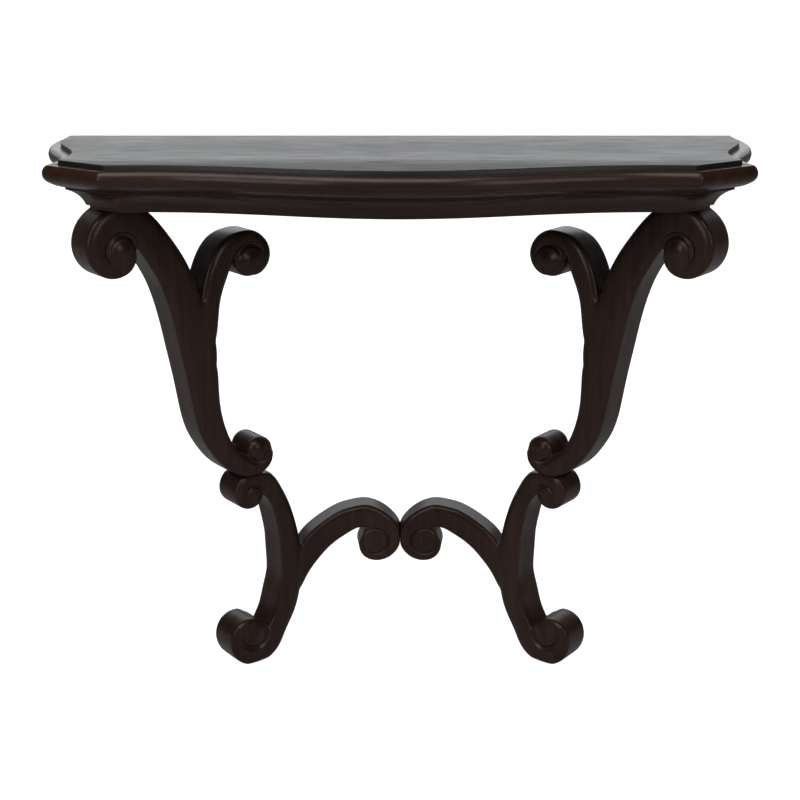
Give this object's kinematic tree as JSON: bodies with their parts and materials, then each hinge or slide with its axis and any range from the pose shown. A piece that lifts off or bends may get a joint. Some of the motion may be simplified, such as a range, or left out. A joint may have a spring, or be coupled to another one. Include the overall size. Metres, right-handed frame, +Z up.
{
  "type": "pier table",
  "caption": "Wall-side console table with a serpentine moulded top on scroll legs tied by a low scroll stretcher.",
  "frame": {"origin": "on the floor under the middle of the table's bounding box", "axes": "+X to the right along the wall, +Y from the front to the wall, +Z up"},
  "size_m": [0.998, 0.379, 0.792],
  "materials": {
    "stained_wood": "dark brown stain under satin lacquer",
    "top_veneer": "straight-grained veneer, dark stain, satin lacquer",
    "panel_core": "stained edge, plain underside",
    "frame_wood": "stained, not lacquered",
    "dowel_wood": "plain",
    "zinc_steel": "zinc plated",
    "glide": "matt"
  },
  "bodies": {
    "root": {"lip_front": "stained_wood", "lip_cant_left": "stained_wood", "lip_cant_right": "stained_wood", "lip_side_left": "stained_wood", "lip_side_right": "stained_wood", "apron_front": "stained_wood", "apron_cant_left": "stained_wood", "apron_cant_right": "stained_wood", "apron_side_left": "stained_wood", "apron_side_right": "stained_wood", "upper_scroll_left": "stained_wood", "upper_scroll_right": "stained_wood", "branch_scroll_left": "stained_wood", "branch_scroll_right": "stained_wood", "lower_scroll_left": "stained_wood", "lower_scroll_right": "stained_wood", "stretcher_left": "stained_wood", "stretcher_right": "stained_wood", "top_panel": "panel_core", "top_veneer": "top_veneer", "back_rail": "frame_wood", "corner_block_left": "frame_wood", "corner_block_right": "frame_wood", "back_block_left": "frame_wood", "back_block_right": "frame_wood", "leg_dowels": "dowel_wood", "branch_dowels": "dowel_wood", "stretcher_dowels": "dowel_wood", "centre_dowel": "dowel_wood", "hanger_bolts": "zinc_steel", "bolt_washers": "zinc_steel", "bolt_nuts": "zinc_steel", "panel_screws": "zinc_steel", "foot_glides": "glide"}
  },
  "joints": []
}
